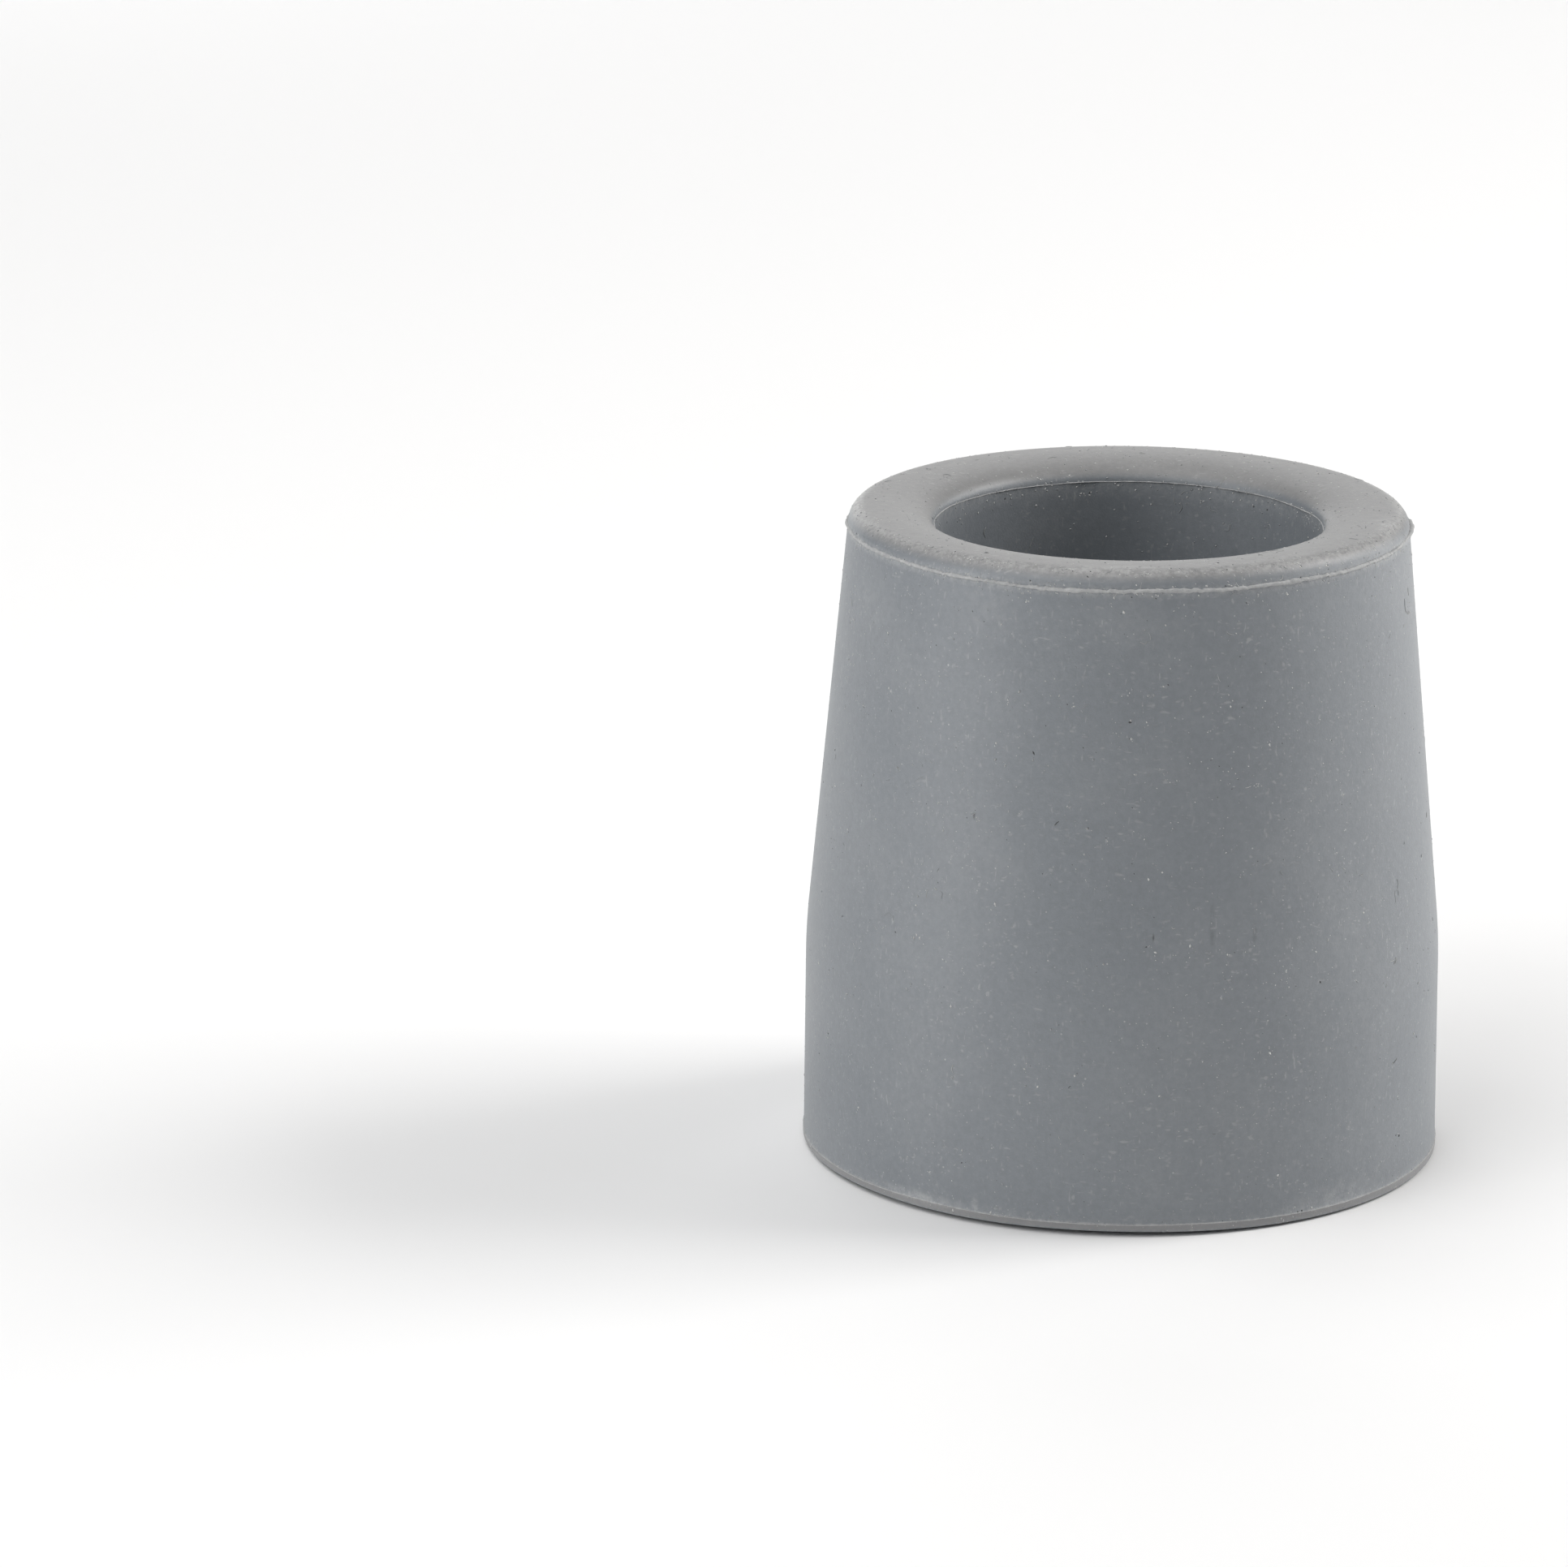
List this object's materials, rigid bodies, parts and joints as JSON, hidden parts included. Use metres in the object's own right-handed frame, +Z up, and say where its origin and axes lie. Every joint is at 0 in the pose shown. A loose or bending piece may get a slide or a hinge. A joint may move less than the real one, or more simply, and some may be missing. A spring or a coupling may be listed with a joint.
{
  "type": "walker tip",
  "caption": "Push-on grey rubber foot for a walking frame leg: blind bore with a rolled lip, conical body and a ringed suction tread.",
  "frame": {"origin": "middle of the tread, on the floor, on the axis of the tip", "axes": "+Z up along the axis, out of the mouth of the bore; X and Y are any two directions across the round tip"},
  "size_m": [0.046, 0.046, 0.0469],
  "materials": {
    "grey_rubber": "matte moulded"
  },
  "bodies": {
    "root": {"walker_tip": "grey_rubber"}
  },
  "joints": []
}
